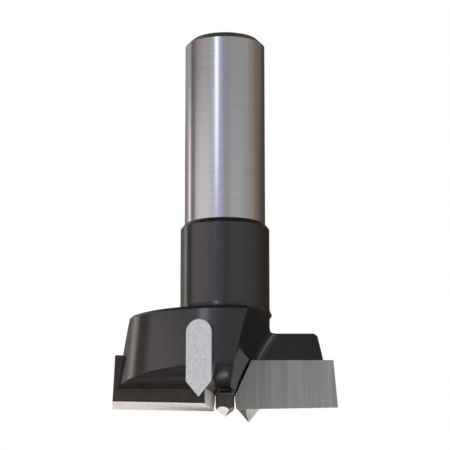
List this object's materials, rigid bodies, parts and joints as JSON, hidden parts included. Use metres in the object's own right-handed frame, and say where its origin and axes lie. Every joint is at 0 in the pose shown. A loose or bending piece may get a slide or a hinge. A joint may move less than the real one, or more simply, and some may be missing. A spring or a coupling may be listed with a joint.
{
  "type": "forstner bit",
  "caption": "Carbide-tipped hinge-boring forstner bit: ground shank, coated two-wing coned head, cutter plates, scoring spurs and centre point.",
  "frame": {"origin": "tip of the centre point, on the bit's axis", "axes": "+Z along the axis from the cutting end to the end of the shank; the cutting edges lie along X, and +X is the plate whose face looks towards -Y"},
  "size_m": [0.035, 0.0344, 0.0605],
  "materials": {
    "steel_body": "satin black coating on the head and collar, bright ground shank",
    "carbide_plate": "ground carbide with fine upright grinding lines",
    "carbide_spur": "bright ground carbide, fine grain",
    "point_steel": "darkened pin with a bright ground tip"
  },
  "bodies": {
    "root": {"body": "steel_body", "cutter_1": "carbide_plate", "cutter_2": "carbide_plate", "spur_1": "carbide_spur", "spur_2": "carbide_spur", "centre_point": "point_steel"}
  },
  "joints": []
}
